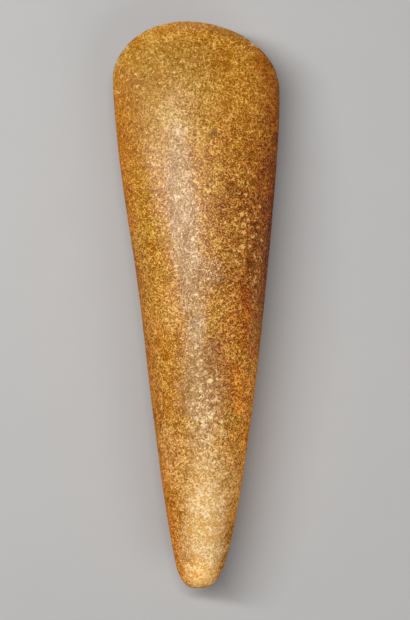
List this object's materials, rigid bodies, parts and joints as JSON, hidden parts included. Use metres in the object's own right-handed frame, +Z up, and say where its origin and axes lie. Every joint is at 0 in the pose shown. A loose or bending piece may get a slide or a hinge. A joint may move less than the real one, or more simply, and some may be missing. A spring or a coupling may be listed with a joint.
{
  "type": "polished stone axe head",
  "caption": "Long tapering ground-stone axe head with a curved sharp edge, an oval section and a rounded butt, lying flat.",
  "frame": {"origin": "on the surface the head lies on, under the middle of its outline", "axes": "+Y along the head towards the cutting edge, +X across its breadth, +Z up through its thickness"},
  "size_m": [0.0648, 0.22, 0.0384],
  "materials": {
    "stone": "satin"
  },
  "bodies": {
    "root": {"axe_head": "stone"}
  },
  "joints": []
}
